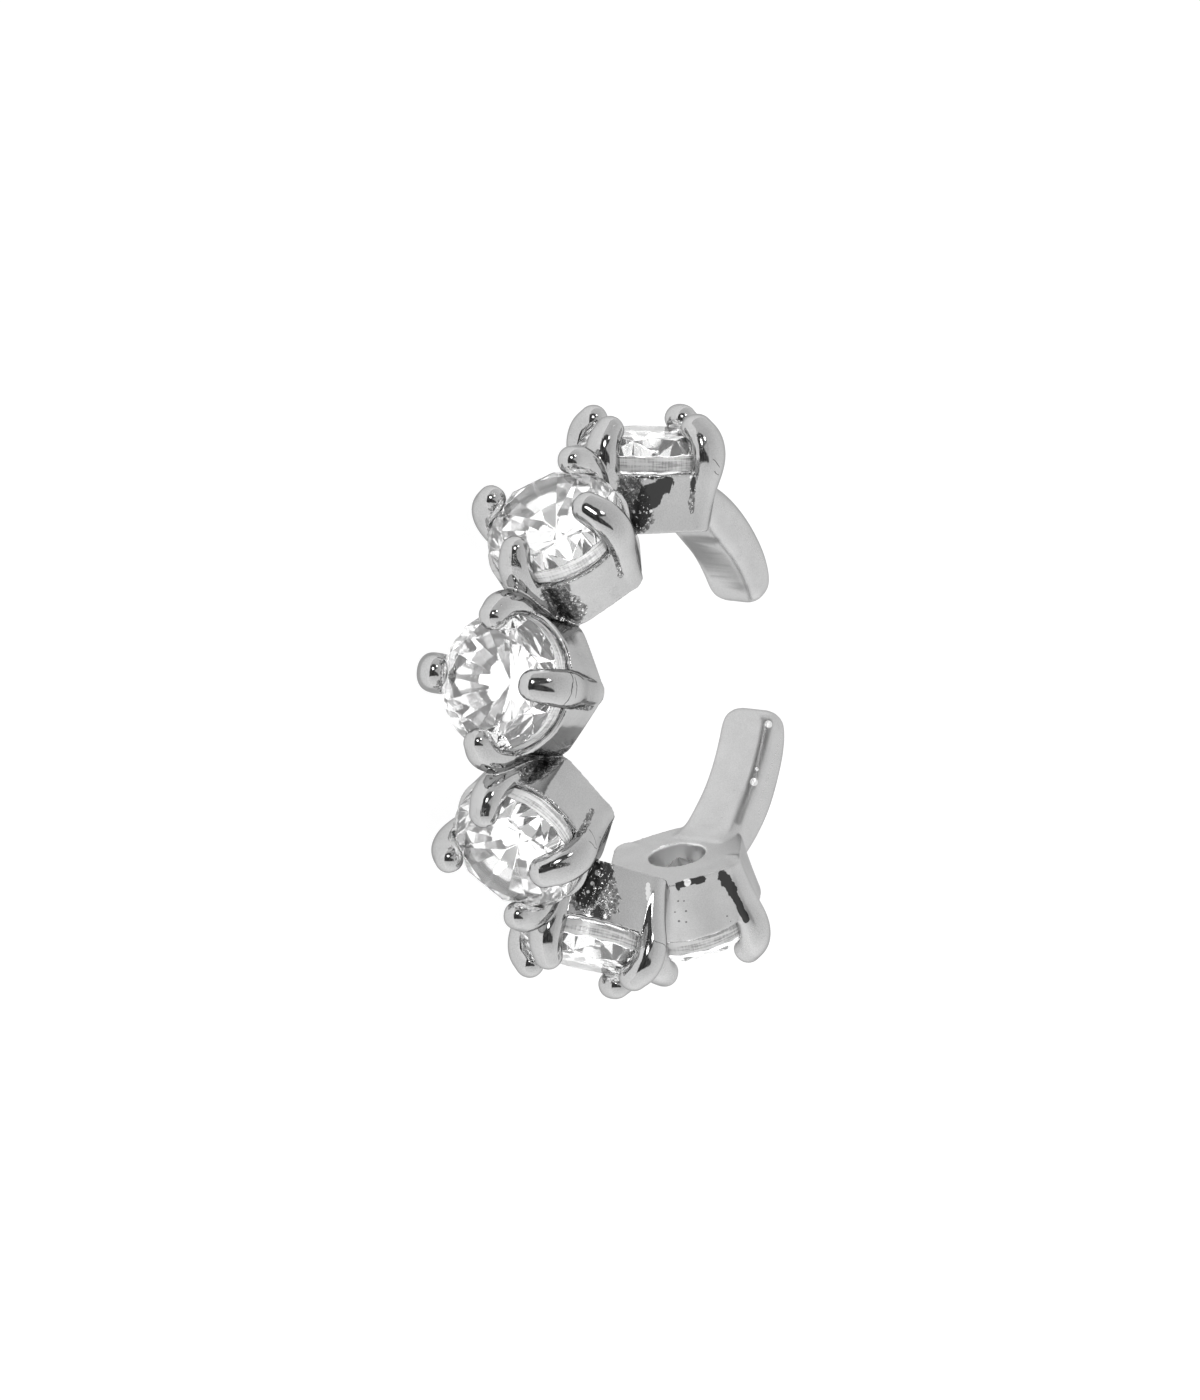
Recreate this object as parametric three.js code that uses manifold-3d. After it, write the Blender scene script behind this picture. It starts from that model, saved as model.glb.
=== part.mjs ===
// Open ear cuff: six round stones in claw collets soldered corner to corner, with a plain tab at each end.
// Millimetres. The cuff lies on its side, with the axis of the ring along +Z and the floor at z = 0.

import * as THREE from 'three';
import { mergeVertices } from 'three/addons/utils/BufferGeometryUtils.js';
import { ConvexGeometry } from 'three/addons/geometries/ConvexGeometry.js';
import Module from 'manifold-3d';

const wasm = await Module();
wasm.setup();

// The ring: heights in the collets are distances from the axis of the ring
const settingAngles = [-169, -129.6, -90, -50, -10.3, 33];
const endHalfPitch = 20;

// The round brilliant stones
const stoneRadius = 1.5;
const girdleBottom = 5.2;
const girdleTop = 5.58;
const tableHeight = 5.92;
const tableRadius = 1.09;
const pavilionDepth = 1.28;
const lowerHalfShare = 0.24;
const facetFold = 8;

// The collet cups, which go from a flat six-sided foot to a round rim
const cupFootHeight = 3.87;
const cupRimHeight = 5.17;
const cupRimRadius = 1.635;
const cupCornerReach = 1.625;
const jointHalfWidth = 0.785;
const jointOverlap = 0.03;
const cupWallBulge = 0.03;
const cupCornerSharpness = 16;
const cupSides = 24;
const cupLevels = 3;
const backHoleRadius = 0.63;
const stoneClearance = 0.05;
const backHoleRun = 1;
const seatSides = 28;

// The claws, from the foot of the collet to the rounded tip over the crown
const clawStations = [
  { reach: 1.31, height: 3.88, halfWidth: 0.315, halfThickness: 0.295 },
  { reach: 1.34, height: 4.2, halfWidth: 0.33, halfThickness: 0.305 },
  { reach: 1.46, height: 4.8, halfWidth: 0.36, halfThickness: 0.33 },
  { reach: 1.6, height: 5.29, halfWidth: 0.38, halfThickness: 0.35 },
  { reach: 1.635, height: 5.6, halfWidth: 0.38, halfThickness: 0.34 },
  { reach: 1.56, height: 5.87, halfWidth: 0.36, halfThickness: 0.33 },
  { reach: 1.37, height: 6.08, halfWidth: 0.315, halfThickness: 0.315 },
];
const clawSides = 10;
const clawSteps = 8;
const clawTipSteps = 2;
const clawTipCap = 0.5;

// The end tabs, each bent round the ring from inside its collet to a rounded end
const tabs = [
  { collet: 0, direction: -1, endAngle: 65, lift: 0, halfWidth: 0.665 },
  { collet: 5, direction: 1, endAngle: 59, lift: 0.175, halfWidth: 0.68 },
];
const tabRootAngle = 12;
const tabSections = [
  { share: 0, inner: 4, outer: 4.91, width: 1, raised: 0 },
  { share: 0.16, inner: 4.1, outer: 4.96, width: 1, raised: 0.1 },
  { share: 0.3, inner: 3.985, outer: 4.97, width: 1, raised: 0.6 },
  { share: 0.46, inner: 3.93, outer: 4.95, width: 1, raised: 1 },
  { share: 0.62, inner: 3.95, outer: 4.92, width: 1, raised: 1 },
  { share: 0.78, inner: 3.96, outer: 4.88, width: 1, raised: 1 },
  { share: 0.9, inner: 3.97, outer: 4.8, width: 0.97, raised: 1 },
  { share: 0.965, inner: 4.04, outer: 4.69, width: 0.87, raised: 1 },
  { share: 1, inner: 4.17, outer: 4.54, width: 0.66, raised: 1 },
];
const tabCornerRadius = 0.26;
const tabCornerShare = 0.9;
const tabCornerSteps = 3;

const radians = THREE.MathUtils.degToRad;
const halfTurnShare = Math.PI / facetFold;

// Closed skin through rings of points, each ring with the same number of points, capped at both ends
function loft(rings) {
  const count = rings[0].length;
  const positions = rings.flat().flatMap((point) => [point.x, point.y, point.z]);
  const indices = [];
  for (let level = 0; level + 1 < rings.length; level += 1) {
    for (let side = 0; side < count; side += 1) {
      const next = (side + 1) % count;
      const low = level * count;
      const high = low + count;
      indices.push(low + side, low + next, high + next);
      indices.push(low + side, high + next, high + side);
    }
  }
  const last = (rings.length - 1) * count;
  for (let side = 1; side + 1 < count; side += 1) {
    indices.push(0, side + 1, side);
    indices.push(last, last + side, last + side + 1);
  }
  const geometry = new THREE.BufferGeometry();
  geometry.setAttribute('position', new THREE.Float32BufferAttribute(positions, 3));
  geometry.setIndex(indices);
  return geometry;
}

function toSolid(geometry) {
  const bare = geometry.clone();
  bare.deleteAttribute('normal');
  bare.deleteAttribute('uv');
  const welded = mergeVertices(bare);
  const mesh = new wasm.Mesh({
    numProp: 3,
    vertProperties: new Float32Array(welded.attributes.position.array),
    triVerts: new Uint32Array(welded.index.array),
  });
  return new wasm.Manifold(mesh);
}

function toGeometry(solid) {
  const mesh = solid.getMesh();
  const geometry = new THREE.BufferGeometry();
  geometry.setAttribute('position', new THREE.Float32BufferAttribute(mesh.vertProperties, 3));
  geometry.setIndex(Array.from(mesh.triVerts));
  return geometry;
}

// Turns a shape that stands on a setting's own axes (x beside the band, y along it, z outward)
function ontoRing(geometry, angleDegrees) {
  const angle = radians(angleDegrees);
  const beside = new THREE.Vector3(0, 0, 1);
  const along = new THREE.Vector3(Math.sin(angle), -Math.cos(angle), 0);
  const outward = new THREE.Vector3(Math.cos(angle), Math.sin(angle), 0);
  const turn = new THREE.Matrix4().makeBasis(beside, along, outward);
  return geometry.clone().applyMatrix4(turn);
}

// Round brilliant: table, stars, kites, upper and lower halves and eight pavilion mains
function stoneGeometry() {
  const crownHeight = tableHeight - girdleTop;
  const foldCosine = Math.cos(halfTurnShare);
  const starRadius = (tableRadius * foldCosine + stoneRadius) / 2;
  const starShare = (stoneRadius - starRadius * foldCosine) / (stoneRadius - tableRadius);
  const lowerRadius = stoneRadius * lowerHalfShare;
  const lowerShare = 1 - (lowerRadius * foldCosine) / stoneRadius;
  const points = [new THREE.Vector3(0, 0, girdleBottom - pavilionDepth)];
  const addPoint = (radius, angle, height) => {
    points.push(new THREE.Vector3(radius * Math.cos(angle), radius * Math.sin(angle), height));
  };
  for (let fold = 0; fold < facetFold; fold += 1) {
    const main = 2 * fold * halfTurnShare;
    const between = main + halfTurnShare;
    addPoint(tableRadius, main, tableHeight);
    addPoint(starRadius, between, girdleTop + crownHeight * starShare);
    addPoint(lowerRadius, between, girdleBottom - pavilionDepth * lowerShare);
    for (const angle of [main, between]) {
      addPoint(stoneRadius, angle, girdleTop);
      addPoint(stoneRadius, angle, girdleBottom);
    }
  }
  return new ConvexGeometry(points);
}

// Joint and two slanting walls on one side of the foot of a cup, facing up or down its y axis
function footSides(halfPitch, facing) {
  const jointDistance = cupFootHeight * Math.tan(radians(halfPitch));
  const wallAngle = Math.atan2(cupCornerReach - jointHalfWidth, jointDistance);
  const wallDistance = cupCornerReach * Math.cos(wallAngle) + cupWallBulge;
  return [
    { direction: facing * (Math.PI / 2), distance: jointDistance + jointOverlap },
    { direction: facing * wallAngle, distance: wallDistance },
    { direction: facing * (Math.PI - wallAngle), distance: wallDistance },
  ];
}

// Distance to the edge of a foot along a direction, with softened corners
function footReach(angle, sides) {
  let sum = 0;
  for (const { direction, distance } of sides) {
    const share = Math.max(Math.cos(angle - direction), 0) / distance;
    sum += share ** cupCornerSharpness;
  }
  return sum ** (-1 / cupCornerSharpness);
}

// Half of the turn to the setting before and to the one after
function halfPitches(index) {
  const halfTurn = (first, second) => (
    second in settingAngles && first in settingAngles
      ? (settingAngles[second] - settingAngles[first]) / 2
      : endHalfPitch
  );
  return [halfTurn(index - 1, index), halfTurn(index, index + 1)];
}

function cupGeometry(index) {
  const [before, after] = halfPitches(index);
  const sides = [...footSides(before, 1), ...footSides(after, -1)];
  const rings = [];
  for (let level = 0; level <= cupLevels; level += 1) {
    const share = level / cupLevels;
    const height = THREE.MathUtils.lerp(cupFootHeight, cupRimHeight, share);
    const ring = [];
    for (let side = 0; side < cupSides; side += 1) {
      const angle = (2 * Math.PI * side) / cupSides;
      const reach = THREE.MathUtils.lerp(footReach(angle, sides), cupRimRadius, share);
      ring.push(new THREE.Vector3(reach * Math.cos(angle), reach * Math.sin(angle), height));
    }
    rings.push(ring);
  }
  return loft(rings);
}

// Smooth values between the claw stations
function clawProfile() {
  const curveOf = (first, second) => new THREE.CatmullRomCurve3(
    clawStations.map((station) => new THREE.Vector3(station[first], station[second], 0)),
  );
  const route = curveOf('reach', 'height');
  const size = curveOf('halfWidth', 'halfThickness');
  return { route, size };
}

function clawGeometry(turn) {
  const { route, size } = clawProfile();
  const rings = [];
  const addRing = (centre, tangent, halfWidth, halfThickness) => {
    const ring = [];
    for (let side = 0; side < clawSides; side += 1) {
      const angle = (2 * Math.PI * side) / clawSides;
      const across = halfThickness * Math.cos(angle);
      const reach = centre.x + across * tangent.y;
      const height = centre.y - across * tangent.x;
      ring.push(new THREE.Vector3(reach, halfWidth * Math.sin(angle), height));
    }
    rings.push(ring);
  };
  for (let step = 0; step <= clawSteps; step += 1) {
    const share = step / clawSteps;
    const { x: halfWidth, y: halfThickness } = size.getPoint(share);
    addRing(route.getPoint(share), route.getTangent(share), halfWidth, halfThickness);
  }
  const tip = clawStations.at(-1);
  const tangent = route.getTangent(1);
  for (let step = 1; step <= clawTipSteps; step += 1) {
    const angle = (Math.PI / 2) * (step / (clawTipSteps + clawTipCap));
    const centre = route.getPoint(1).addScaledVector(tangent, tip.halfThickness * Math.sin(angle));
    addRing(centre, tangent, tip.halfWidth * Math.cos(angle), tip.halfThickness * Math.cos(angle));
  }
  return loft(rings).rotateZ(turn);
}

// The room that a stone and the open back take out of a collet
function seatGeometry() {
  const wide = stoneRadius + stoneClearance;
  const pavilionSlope = pavilionDepth / stoneRadius;
  const coneHeight = girdleBottom - (wide - backHoleRadius) * pavilionSlope;
  const profile = [
    [0, cupFootHeight - backHoleRun],
    [backHoleRadius, cupFootHeight - backHoleRun],
    [backHoleRadius, coneHeight],
    [wide, girdleBottom],
    [wide, girdleTop],
    [tableRadius + stoneClearance, tableHeight + stoneClearance],
    [0, tableHeight + stoneClearance],
  ].map(([radius, height]) => new THREE.Vector2(radius, height));
  return new THREE.LatheGeometry(profile, seatSides).rotateX(Math.PI / 2);
}

// Rounded bar of an end tab, bent round the ring on one side of its collet
function tabGeometry({ collet, direction, endAngle, lift, halfWidth }) {
  const rings = tabSections.map(({ share, inner, outer, width, raised }) => {
    const wide = halfWidth * width;
    const halfHeight = (outer - inner) / 2;
    const middle = (outer + inner) / 2 + lift * raised;
    const corner = Math.min(tabCornerRadius, tabCornerShare * halfHeight);
    const turned = THREE.MathUtils.lerp(tabRootAngle, endAngle, share);
    const azimuth = radians(settingAngles[collet] + direction * turned);
    const ring = [];
    for (let quarter = 0; quarter < 4; quarter += 1) {
      const radialSign = quarter === 0 || quarter === 3 ? 1 : -1;
      const besideSign = quarter < 2 ? 1 : -1;
      for (let step = 0; step <= tabCornerSteps; step += 1) {
        const turn = (Math.PI / 2) * (quarter + step / tabCornerSteps);
        const radial = middle + radialSign * (halfHeight - corner) + corner * Math.cos(turn);
        const beside = besideSign * (wide - corner) + corner * Math.sin(turn);
        ring.push(new THREE.Vector3(radial * Math.cos(azimuth), radial * Math.sin(azimuth), beside));
      }
    }
    return direction > 0 ? ring.reverse() : ring;
  });
  return loft(rings);
}

function cuffFrameGeometry() {
  const claws = [0, 1, 2, 3].map((quarter) => clawGeometry((quarter * Math.PI) / 2));
  const seat = seatGeometry();
  const [firstTab, lastTab] = tabs.map((tab) => toSolid(tabGeometry(tab)));
  let metal = firstTab.add(lastTab);
  settingAngles.forEach((angle, index) => {
    for (const piece of [cupGeometry(index), ...claws]) {
      metal = metal.add(toSolid(ontoRing(piece, angle)));
    }
  });
  for (const angle of settingAngles) {
    metal = metal.subtract(toSolid(ontoRing(seat, angle)));
  }
  return toGeometry(metal);
}

const rhodium = new THREE.MeshStandardMaterial({ color: 0xc9c9cb, roughness: 0.16, metalness: 1 });
const clearStone = new THREE.MeshStandardMaterial({ color: 0xf2f3f5, roughness: 0.03, metalness: 0 });

function namedMesh(name, geometry, material) {
  const mesh = new THREE.Mesh(geometry, material);
  mesh.name = name;
  return mesh;
}

const cuff = new THREE.Group();
cuff.add(namedMesh('cuff_frame', cuffFrameGeometry(), rhodium));
settingAngles.forEach((angle, index) => {
  cuff.add(namedMesh(`stone_${index + 1}`, ontoRing(stoneGeometry(), angle), clearStone));
});

const box = new THREE.Box3().setFromObject(cuff, true);
const middle = box.getCenter(new THREE.Vector3());
cuff.position.set(-middle.x, -middle.y, -box.min.z);

export default cuff;
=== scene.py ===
"""Open ear cuff with six round stones in claw collets, dressed for a studio picture."""

import math

import bmesh
import bpy
import numpy as np
from bpy.props import FloatProperty, IntProperty, PointerProperty
from mathutils import Matrix, Vector


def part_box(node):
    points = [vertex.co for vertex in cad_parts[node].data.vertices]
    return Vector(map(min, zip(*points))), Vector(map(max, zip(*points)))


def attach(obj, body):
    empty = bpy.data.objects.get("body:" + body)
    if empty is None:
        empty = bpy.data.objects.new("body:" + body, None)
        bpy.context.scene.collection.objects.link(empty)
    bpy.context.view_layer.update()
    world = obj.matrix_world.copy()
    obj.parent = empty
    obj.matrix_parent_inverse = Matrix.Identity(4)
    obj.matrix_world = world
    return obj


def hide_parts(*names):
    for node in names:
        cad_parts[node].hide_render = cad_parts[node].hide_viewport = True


bl_info = {
    "name": "Claw-set ear cuff",
    "version": (1, 0, 0),
    "blender": (4, 5, 0),
    "location": "3D View > Sidebar > Ear Cuff",
    "description": "Builds the cast metal, the cut stones and the studio of an open ear cuff",
    "category": "Object",
}

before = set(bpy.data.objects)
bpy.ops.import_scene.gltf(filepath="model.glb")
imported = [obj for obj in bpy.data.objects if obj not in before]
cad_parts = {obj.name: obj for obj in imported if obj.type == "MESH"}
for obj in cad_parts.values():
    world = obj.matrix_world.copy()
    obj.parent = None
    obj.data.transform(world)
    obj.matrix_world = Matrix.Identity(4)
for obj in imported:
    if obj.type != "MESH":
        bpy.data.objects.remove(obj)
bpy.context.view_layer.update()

MM = 0.001

# Settings by the angle round the ring in degrees, and what stands in them
SETTING_ANGLES = (-169, -129.6, -90, -50, -10.3, 33)
STONE_NODES = tuple(f"stone_{number}" for number in range(1, len(SETTING_ANGLES) + 1))

# Heights in a collet are distances from the axis of the ring, in millimetres
END_HALF_PITCH = 20
STONE_RADIUS = 1.5
GIRDLE_BOTTOM = 5.2
GIRDLE_TOP = 5.58
TABLE_HEIGHT = 5.92
TABLE_RADIUS = 1.09
PAVILION_DEPTH = 1.28
LOWER_HALF_SHARE = 0.24

CUP_FOOT_HEIGHT = 3.87
# Slope of each foot: millimetres of height lost per millimetre towards the setting before
FOOT_SLOPES = (0, 0, 0, 0, 0, 0.1)
CUP_RIM_HEIGHT = 5.17
CUP_RIM_RADIUS = 1.635
CUP_CORNER_REACH = 1.625
JOINT_HALF_WIDTH = 0.785
JOINT_OVERLAP = 0.03
CUP_WALL_BULGE = 0.03
CUP_CORNER_SHARPNESS = 16
BACK_HOLE_RADIUS = 0.63
CUT_PAST_FOOT = 1

# Claw stations: reach from the stone's axis, height, half width, half thickness
CLAW_STATIONS = (
    (1.31, 3.88, 0.315, 0.295),
    (1.34, 4.2, 0.33, 0.305),
    (1.46, 4.8, 0.36, 0.33),
    (1.6, 5.29, 0.38, 0.35),
    (1.635, 5.6, 0.38, 0.34),
    (1.56, 5.87, 0.36, 0.33),
    (1.37, 6.08, 0.315, 0.315),
)

# How often the facets repeat round a stone, and how worn the edges between them are
FACET_FOLD = 8
FACET_EDGE_WEAR = 0.009
SHARP_ANGLE = math.radians(8)
FLAT_ANGLE = math.radians(0.4)
# Most slope towards the setting's axis that a face of the girdle has
GIRDLE_SLOPE = 0.08

# Claws that differ from the rest: setting, quarter, width share, longer tip, lean
CLAW_TRAITS = (
    (1, 0, 1.25, 0.05, 0.03),
    (1, 1, 1.15, 0.0, 0.0),
    (2, 0, 1.12, 0.22, 0.0),
    (3, 0, 1.12, 0.12, -0.02),
    (3, 2, 1.2, 0.0, -0.03),
    (4, 0, 1.12, 0.22, 0.0),
    (5, 3, 1.15, 0.0, 0.0),
)
CLAW_ROUNDNESS = 2.15
CLAW_NECK_HEIGHT = 4.6
# How late on the way to the tip a claw widens and lengthens, and how much of that goes up
CLAW_WIDENING_POWER = 0.5
CLAW_LENGTHENING_POWER = 4
CLAW_RISE_SHARE = 1 / 3

# Rough solder stains: setting, place beside, along and outward, the same for the far end, reach
SOLDER_STAINS = (
    (1, 0.63, -1.49, 4.84, 0.82, -1.36, 4.2, 0.45),
    (1, 1.56, -0.43, 5.05, 1.49, -0.38, 4.35, 0.1),
    (2, 0.62, -1.5, 4.95, 0.8, -1.38, 4.3, 0.42),
    (2, 1.7, -0.37, 5.4, 1.52, -0.35, 4.45, 0.08),
    (3, 0.84, -1.32, 3.9, 0.7, -1.4, 4.4, 0.26),
    (3, 1.51, -0.34, 4.9, 1.5, -0.34, 4.15, 0.1),
    (4, 0.47, 1.53, 4.85, 0.55, 1.45, 4.25, 0.34),
    (4, 1.5, 0.39, 4.4, 1.65, 0.38, 5.3, 0.09),
    (5, 0.66, 1.47, 4.75, 0.82, 1.34, 3.95, 0.42),
    (5, 0.94, 1.25, 4.27, 1.1, 1.1, 4.75, 0.34),
)
# Smooth dark film, in the same columns
FILM_STAINS = (
    (1, 0.9, -1.28, 4.78, 1.24, -0.98, 4.98, 0.25),
    (1, 0.82, -1.34, 4.5, 1.04, -1.15, 4.66, 0.28),
    (1, 0.78, -1.37, 4.15, 0.88, -1.28, 4.35, 0.24),
    (1, 1.56, -0.43, 5.05, 1.5, -0.38, 4.8, 0.09),
    (5, 0.7, 1.44, 4.7, 0.86, 1.3, 4.1, 0.36),
    (6, 0.87, 1.33, 3.8, 1.2, 0.84, 3.87, 0.11),
    (6, 1.43, 0.42, 3.98, 1.53, 0.32, 4.4, 0.18),
    (6, 1.53, 0.32, 4.4, 1.74, 0.33, 5.12, 0.12),
)
# Painted dark reflections on the end tabs, a soft dark cloud on the first tab's inside and a grey line
# along the last tab's ridge, in the same columns
PAINTED_DARK_REFLECTIONS = (
    (1, -0.25, 2.2, 3.25, -0.3, 2.75, 2.85, 0.36),
    (1, -0.3, 2.75, 2.85, -0.1, 3.2, 2.45, 0.38),
    (1, -0.1, 3.2, 2.45, 0.32, 3.4, 2.25, 0.3),
    (1, -0.25, 2.1, 3.35, 0.4, 2.1, 3.35, 0.24),
    (1, 0.05, 2.6, 2.97, 0.1, 3.2, 2.43, 0.5),
    (6, 0.57, -3.5, 2.4, 0.56, -2.95, 2.93, 0.17),
    (6, 0.56, -2.95, 2.93, 0.57, -2.4, 3.4, 0.17),
    (6, 0.57, -2.4, 3.4, 0.62, -1.6, 3.86, 0.13),
)
# Tabs and the last collet are satin, and the tabs flow into their collets, in the same columns
SATIN_PARTS = (
    (1, 0, 1.7, 3.6, 0, 4.1, 1.6, 1.3),
    (6, 0, 0.2, 4.6, 0, -0.5, 4.6, 2.8),
    (6, 0, -1.7, 3.6, 0, -4.1, 1.8, 1.3),
)
TAB_ROOTS = (
    (1, 0, 1.42, 4.3, 0, 1.9, 4.1, 1.1),
    (6, 0, -1.42, 4.0, 0, -1.9, 3.9, 1.25),
)
# Painted shade: dark lines painted where fine creases and the shadow under a claw fall; setting, middle,
# direction across the line, reach, half width
CREASE_SHADE_LINES = (
    (3, 1.97, 0.0, 5.63, 0.0, 0.1, 1.0, 0.44, 0.013),
    (3, 1.97, 0.05, 5.48, 0.0, -0.15, 1.0, 0.26, 0.009),
    (1, 1.94, -0.1, 5.4, 0.0, 0.64, 0.77, 0.17, 0.009),
    (1, 1.95, -0.05, 5.17, 0.0, 0.5, 0.85, 0.12, 0.008),
    (5, 1.9, 0.1, 5.3, 0.0, 0.1, 1.0, 0.3, 0.008),
    (4, 1.85, 0.2, 5.0, 0.0, 0.5, 0.9, 0.22, 0.008),
    (4, 1.85, 0.1, 5.2, 0.0, -0.4, 0.9, 0.18, 0.008),
)
# Painted highlights: bright dots along rims, ribs and a tab ridge, and a bright bar on a rib, that stand
# in for lamp highlights; setting, place and radius
PAINTED_HIGHLIGHTS = (
    (5, 1.47, 0.37, 4.1, 0.06),
    (5, 1.48, 0.36, 4.18, 0.075),
    (5, 1.5, 0.34, 4.28, 0.08),
    (5, 1.53, 0.32, 4.38, 0.075),
    (5, 1.57, 0.31, 4.5, 0.06),
    (5, 0.79, 1.37, 4.15, 0.07),
    (5, 0.74, 1.41, 4.4, 0.05),
    (5, 0.8, 1.36, 4.5, 0.045),
    (5, 0.7, 1.44, 4.6, 0.04),
    (6, 1.0, 1.14, 3.81, 0.1),
    (6, 0.6, -3.48, 2.42, 0.1),
    (6, 0.6, -2.5, 3.35, 0.1),
    (6, 0.58, -2.73, 3.15, 0.045),
    (6, -0.56, -0.3, 3.9, 0.09),
    (3, 1.17, 1.02, 5.17, 0.045),
    (3, 1.27, 0.88, 5.17, 0.04),
    (3, 1.37, 0.72, 5.17, 0.05),
    (3, 1.44, 0.57, 5.17, 0.04),
    (3, 1.2, -0.87, 5.16, 0.05),
    (2, 1.46, -0.56, 5.17, 0.045),
    (2, 1.38, -0.72, 5.17, 0.03),
    (1, 0.92, -1.35, 5.11, 0.05),
    (1, 1.01, -1.28, 5.13, 0.04),
    (1, 1.55, -0.5, 5.1, 0.04),
    (1, 0.99, -1.2, 4.38, 0.04),
)
# Painted shade in small pits: dark dots, in the same columns
PIT_SHADE_DOTS = (
    (6, 0.86, 1.41, 4.15, 0.03),
    (6, 0.94, 1.31, 4.19, 0.026),
    (6, 0.76, 1.48, 4.4, 0.026),
    (6, 0.94, 1.32, 4.44, 0.032),
    (6, 0.79, 1.45, 4.64, 0.036),
    (6, 0.9, 1.35, 4.7, 0.034),
    (6, 1.47, 0.62, 4.9, 0.028),
    (6, 1.5, 0.58, 5.05, 0.024),
)
# The lower side has the same joints, stained a little less
LOWER_STAIN_REACH = 0.3
SOLDER_LAYER = "solder_stain"
FILM_LAYER = "dark_film"
DARK_REFLECTION_LAYER = "painted_dark_reflection"
SATIN_LAYER = "satin_part"
SEAT_LAYER = "bright_cut_seat"
SEAT_MARK_DEPTH = 0.03
SPOT_LAYER = "spot_on_stone"

# Stone whose point is painted dark as the shade seen in its open back
SHADED_POINT_STONE = "stone_6"
POINT_SHADE_TOP = 4.95
POINT_SHADE_TONE = 0.2

# Small lamps beside the camera: slope to the right, slope to the top, share of the lamp edge
LAMPS = (
    (-0.08, 0.34, 1),
    (0.54, 0.68, 0.7),
)

# End tabs: setting, direction round the ring, end angle, lift, half width
TABS = (
    (1, -1, 65, 0, 0.665),
    (6, 1, 59, 0.175, 0.68),
)
TAB_ROOT_ANGLE = 12
# Tab sections: share of the length, inner and outer distance, width share, lift share
TAB_SECTIONS = (
    (0, 4.0, 4.91, 1.15, 0),
    (0.16, 4.1, 4.96, 1.1, 0.1),
    (0.3, 3.985, 4.97, 1.03, 0.6),
    (0.46, 3.93, 4.95, 1, 1),
    (0.62, 3.95, 4.92, 1, 1),
    (0.78, 3.96, 4.88, 1, 1),
    (0.89, 3.97, 4.8, 0.985, 1),
    (0.95, 4.01, 4.73, 0.9, 1),
    (0.985, 4.1, 4.62, 0.72, 1),
    (1, 4.2, 4.5, 0.46, 1),
)
TAB_CORNER_RADIUS = 0.26
# Most that a corner takes of half the tab's thickness
TAB_CORNER_SHARE = 0.9

# Softening of the metal: step towards the neighbours, and the steps back that keep the size
SOFTENING_STEP = 0.55
TUMBLING_RETURN = -0.57
ROOT_RETURN = -0.4
ROOT_STRENGTH = 2

# Noise in the finishes: scale in a millimetre, detail, roughness
RAGGED_NOISE = (7.0, 5.0, 0.6)
GRAIN_NOISE = (24.0, 3.0, 0.6)
CRUMB_NOISE = (12.0, 4.0, 0.62)
GLINT_NOISE = (16.0, 1.0)
SPECKLE_NOISE = (38.0, 1.0)
MOTTLE_NOISE = (1.9, 3.0)
SCRATCH_PATCH_NOISE = (1.7,)
STREAK_NOISE = (1.0, 1.0)
CREASE_SHADE_NOISE = (5.0,)
# Stretches of a noise that make the two sets of fine scratches, and the half width of a scratch
SCRATCH_STRETCHES = ((3.0, 46.0, 5.0), (38.0, 4.0, 7.0))
SCRATCH_THINNESS = 0.006
# Ranges: low and high of what goes in, then low and high of what comes out
SCRATCH_PATCHES = (0.6, 0.66)
RAGGED_EDGE = (0.28, 0.36)
SPECKLE_RANGE = (0.25, 0.75, -0.06, 0.06)
MOTTLE_RANGE = (0.3, 0.7, 0.97, 1.03)
CREASE_SHADE_WOBBLE = (0.3, 0.7, -0.02, 0.02)
GLINT_RANGE = (0.63, 0.68)
SOOT_RANGE = (0.4, 0.62, 0.16, 0.46)
CURL_RANGE = (0.0, 0.02, 1.0, 0.0)
DARK_REFLECTION_RANGE = (0.1, 0.7)
SATIN_RANGE = (0.0, 0.5)
SMOOTH_RANGE = (0.3, 0.7, 0.05, 0.12)
# How far the noise frays the edge of a stain
SOLDER_FRAY = 0.8
FILM_FRAY = 0.7
# Tones and roughness of the marks in the metal, among them the painted shade, glints and highlights
SCRATCH_TONE = 0.7
CREASE_SHADE_TONE = 0.12
PIT_SHADE_TONE = 0.15
CURL_TONE = 0.1
GLINT_TONE = 0.95
HIGHLIGHT_TONE = 1.0
SATIN_ROUGHNESS = 0.38
SOLDER_ROUGHNESS = 0.22
# Where the side of a painted crease shade line fades, in half widths, and where its end does, as a share
# of its reach
CREASE_SHADE_EDGE = (0.5, 1.5)
CREASE_SHADE_END = 0.8
# Share of a round mark's radius that is soft
PIT_SHADE_SOFTNESS = 0.6
HIGHLIGHT_SOFTNESS = 0.2

# Ripples that polishing leaves on the stones: detail and roughness of the noise
POLISH_RIPPLES = (3.0, 0.6)
# Ground girdle: lines round the turn and up, their noise, and how much of them is level
UPRIGHT_LINES = (30.0, 2.0, 1.0)
UPRIGHT_NOISE = (1.0, 3.0, 0.7)
LEVEL_LINES = (1.2, 11.0, 1.0)
LEVEL_NOISE = (1.0, 3.0, 0.6)
LEVEL_SHARE = 0.75
GIRDLE_TONES = (0.4, 0.56, 0.35, 1.0)
GIRDLE_ROUGHNESS = 0.25
GIRDLE_CLEARNESS = 0.35
GIRDLE_GRAIN_DEPTH = 0.01 * MM
TABLE_TONE = 0.12
TABLE_ROUGHNESS = 0.6

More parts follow.
